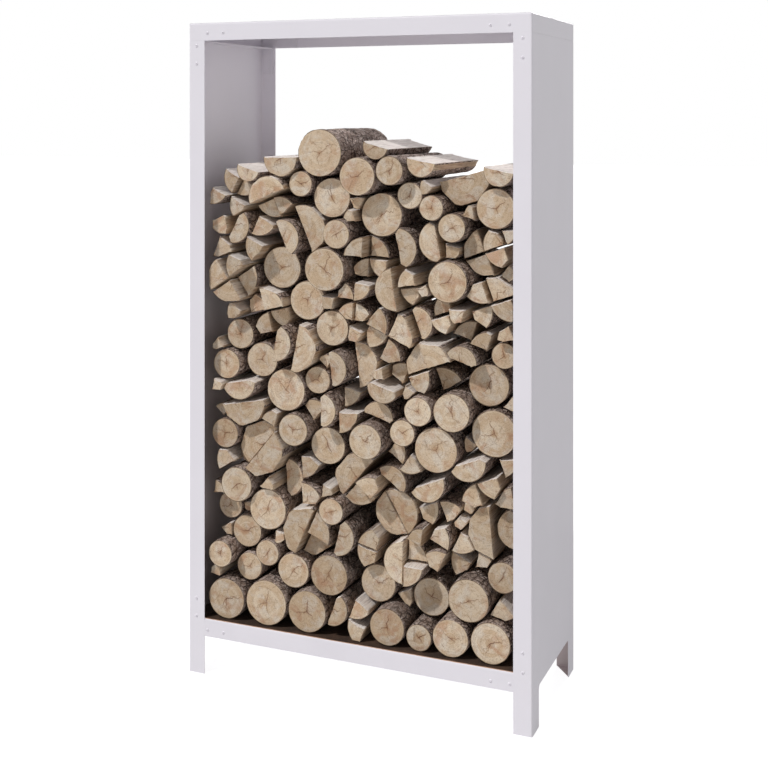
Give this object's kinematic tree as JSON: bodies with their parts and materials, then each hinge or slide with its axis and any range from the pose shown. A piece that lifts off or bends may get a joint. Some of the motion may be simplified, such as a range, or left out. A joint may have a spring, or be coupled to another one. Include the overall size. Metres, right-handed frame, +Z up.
{
  "type": "firewood log rack",
  "caption": "Tall open rack of white folded sheet steel on short legs, screwed at the corners with hidden brackets and filled with stacked round and split logs.",
  "frame": {"origin": "centre of the footprint on the floor", "axes": "+Z up, -Y towards the open front, +X to the right as seen from the front"},
  "size_m": [0.8, 0.354, 1.465],
  "materials": {
    "powder_coat": "satin white powder coat with a very fine texture",
    "bracket_coat": "satin white powder coat",
    "screw_coat": "white painted button head",
    "firewood": "dry sawn ends with rings and checks, fibrous split faces and rough grey-brown bark"
  },
  "bodies": {
    "rack": {"left_side_panel": "powder_coat", "right_side_panel": "powder_coat", "top_panel": "powder_coat", "shelf_panel": "powder_coat", "bracket_front_left_top": "bracket_coat", "bracket_front_right_top": "bracket_coat", "bracket_rear_left_top": "bracket_coat", "bracket_rear_right_top": "bracket_coat", "bracket_front_left_bottom": "bracket_coat", "bracket_front_right_bottom": "bracket_coat", "bracket_rear_left_bottom": "bracket_coat", "bracket_rear_right_bottom": "bracket_coat", "screws_front_left_top": "screw_coat", "screws_front_right_top": "screw_coat", "screws_rear_left_top": "screw_coat", "screws_rear_right_top": "screw_coat", "screws_front_left_bottom": "screw_coat", "screws_front_right_bottom": "screw_coat", "screws_rear_left_bottom": "screw_coat", "screws_rear_right_bottom": "screw_coat", "round_logs_course_01": "firewood", "round_logs_course_02": "firewood", "round_logs_course_03": "firewood", "round_logs_course_04": "firewood", "round_logs_course_05": "firewood", "round_logs_course_06": "firewood", "round_logs_course_07": "firewood", "round_logs_course_08": "firewood", "round_logs_course_09": "firewood", "round_logs_course_10": "firewood", "round_logs_course_11": "firewood", "round_logs_course_12": "firewood", "split_logs_course_01": "firewood", "split_logs_course_02": "firewood", "split_logs_course_03": "firewood", "split_logs_course_04": "firewood", "split_logs_course_05": "firewood", "split_logs_course_06": "firewood", "split_logs_course_07": "firewood", "split_logs_course_08": "firewood", "split_logs_course_09": "firewood", "split_logs_course_10": "firewood", "split_logs_course_11": "firewood", "split_logs_course_12": "firewood"},
    "top_log_1_body": {"top_log_1": "firewood"},
    "top_log_2_body": {"top_log_2": "firewood"},
    "top_log_3_body": {"top_log_3": "firewood"},
    "top_log_4_body": {"top_log_4": "firewood"},
    "top_log_5_body": {"top_log_5": "firewood"}
  },
  "joints": [
    {"name": "top_log_1_slide", "type": "slide", "parent": "rack", "child": "top_log_1_body", "axis": [0, -1, 0], "range_m": [0, 0.36]},
    {"name": "top_log_2_slide", "type": "slide", "parent": "rack", "child": "top_log_2_body", "axis": [0, -1, 0], "range_m": [0, 0.36]},
    {"name": "top_log_3_slide", "type": "slide", "parent": "rack", "child": "top_log_3_body", "axis": [0, -1, 0], "range_m": [0, 0.36]},
    {"name": "top_log_4_slide", "type": "slide", "parent": "rack", "child": "top_log_4_body", "axis": [0, -1, 0], "range_m": [0, 0.36]},
    {"name": "top_log_5_slide", "type": "slide", "parent": "rack", "child": "top_log_5_body", "axis": [0, -1, 0], "range_m": [0, 0.36]}
  ]
}
